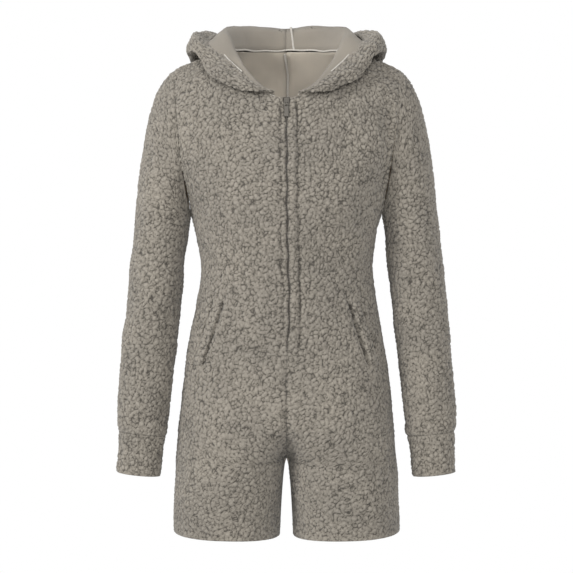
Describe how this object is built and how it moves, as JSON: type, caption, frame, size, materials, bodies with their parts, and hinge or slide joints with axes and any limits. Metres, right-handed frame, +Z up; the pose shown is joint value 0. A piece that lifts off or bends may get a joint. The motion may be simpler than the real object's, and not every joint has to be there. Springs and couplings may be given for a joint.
{
  "type": "hooded short onesie pajama",
  "caption": "Worn, hollow hooded romper pajama in pebbly teddy fleece with long cuffed sleeves, short legs, front zip and slanted welt pockets.",
  "frame": {"origin": "on the middle plane, level with the side seams, at the height of the shoulders, where the wearer's shoulders hold the garment", "axes": "+Z up towards the neck, -Y out of the front, +X towards the wearer's left"},
  "size_m": [0.537, 0.285, 0.8222],
  "materials": {
    "fleece": "pebbly pile, matte, warm taupe grey",
    "hood_fleece": "pebbly pile outside and smooth fine knit inside, matte",
    "zip_tape": "woven tape, matte",
    "zip_metal": "dull grey cast metal"
  },
  "bodies": {
    "romper": {"front_left": "fleece", "front_right": "fleece", "back_left": "fleece", "back_right": "fleece", "sleeve_left": "fleece", "sleeve_right": "fleece", "cuff_left": "fleece", "cuff_right": "fleece", "hood_left": "hood_fleece", "hood_right": "hood_fleece", "pocket_welt_left": "fleece", "pocket_welt_right": "fleece", "zip_tape_left": "zip_tape", "zip_tape_right": "zip_tape", "zip_slider": "zip_metal"},
    "pull": {"zip_pull": "zip_metal"}
  },
  "joints": [
    {"name": "pull_swing", "type": "hinge", "parent": "romper", "child": "pull", "pos_m": [0, -0.09355, -0.07144], "axis": [-1, 0, 0], "range_deg": [0, 150]}
  ]
}
